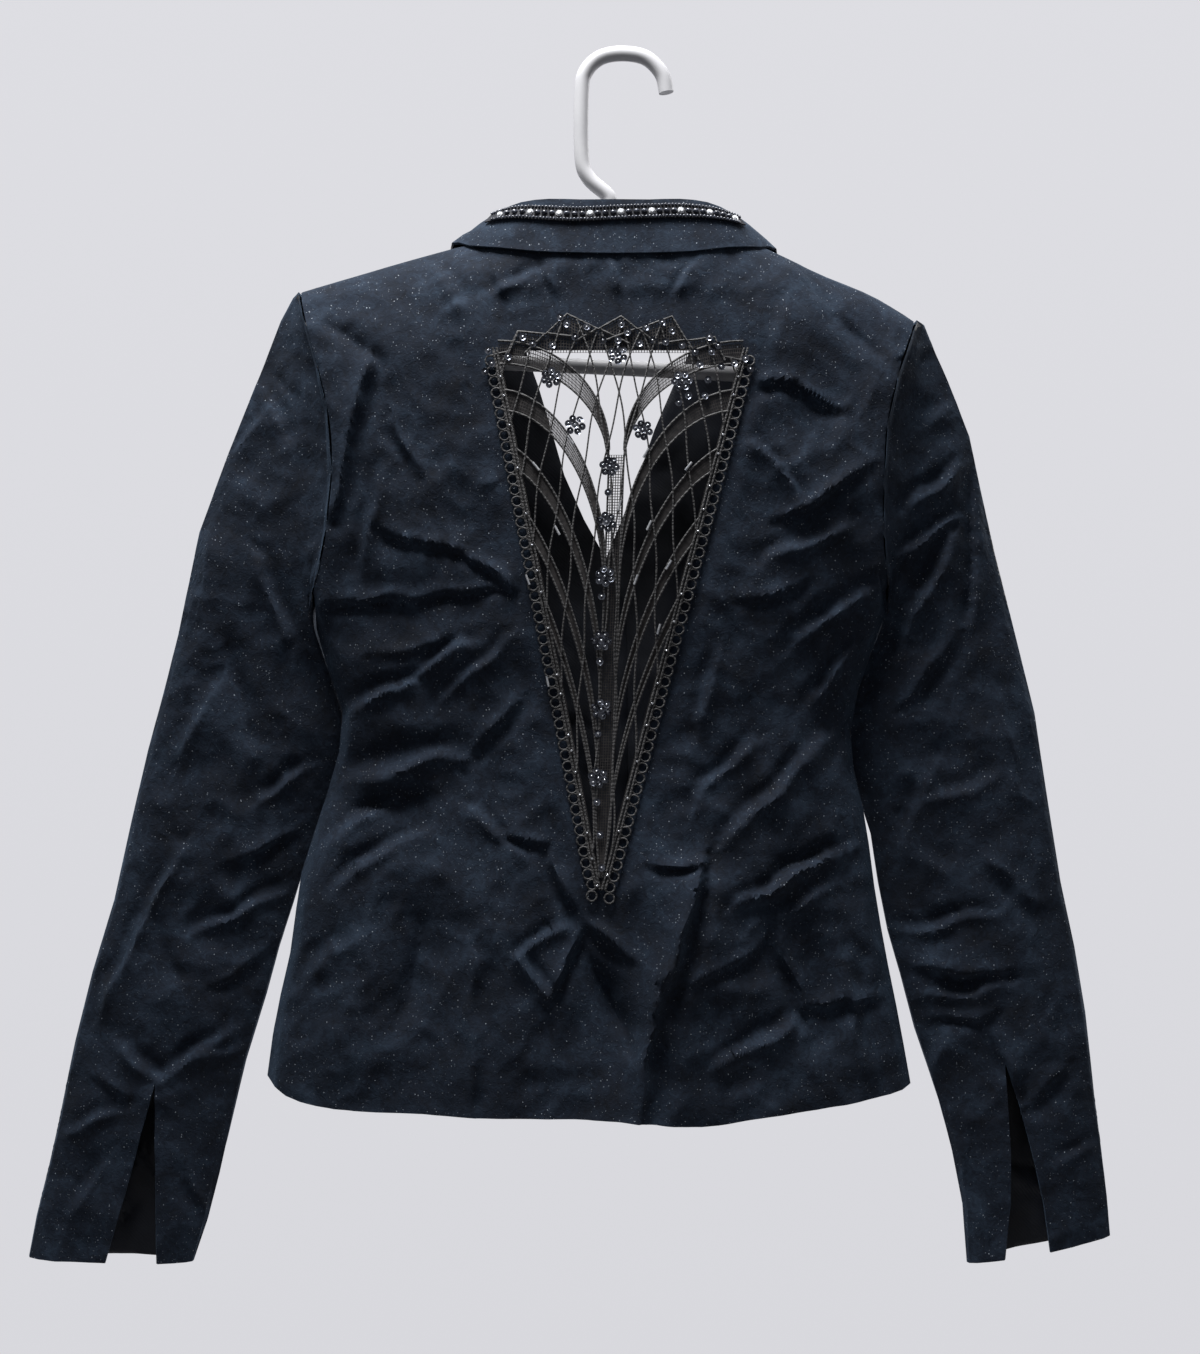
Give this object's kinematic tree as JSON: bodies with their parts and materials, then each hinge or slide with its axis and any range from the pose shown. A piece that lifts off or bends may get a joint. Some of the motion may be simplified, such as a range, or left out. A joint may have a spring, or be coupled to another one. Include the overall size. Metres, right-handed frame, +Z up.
{
  "type": "embellished blazer on a hanger",
  "caption": "Fitted long-sleeved blazer with a pointed lace inset in the back, hung on a plastic hanger.",
  "frame": {"origin": "underside of the hanger's hook, where a nail or rail carries it", "axes": "+Z up; the garment's back faces -Y and its fronts face the wall at +Y; X runs along the shoulders"},
  "size_m": [0.6925, 0.0785, 0.7735],
  "materials": {
    "cloth": "crushed short-pile velvet with fine silver specks",
    "lace": "corded black guipure lace with sequins",
    "beads": "glass seed beads and clear stones on braid",
    "button": "dark moulded plastic",
    "hanger": "smooth white moulded plastic"
  },
  "bodies": {
    "root": {"back": "cloth", "front_left": "cloth", "front_right": "cloth", "lapel_left": "cloth", "lapel_right": "cloth", "sleeve_upper_left": "cloth", "sleeve_upper_left_fore": "cloth", "sleeve_upper_right": "cloth", "sleeve_upper_right_fore": "cloth", "sleeve_under_left": "cloth", "sleeve_under_right": "cloth", "collar": "cloth", "collar_trim": "beads", "lace_inset": "lace", "button_1": "button", "button_2": "button", "button_3": "button", "hanger_hook": "hanger", "hanger_frame": "hanger"}
  },
  "joints": []
}
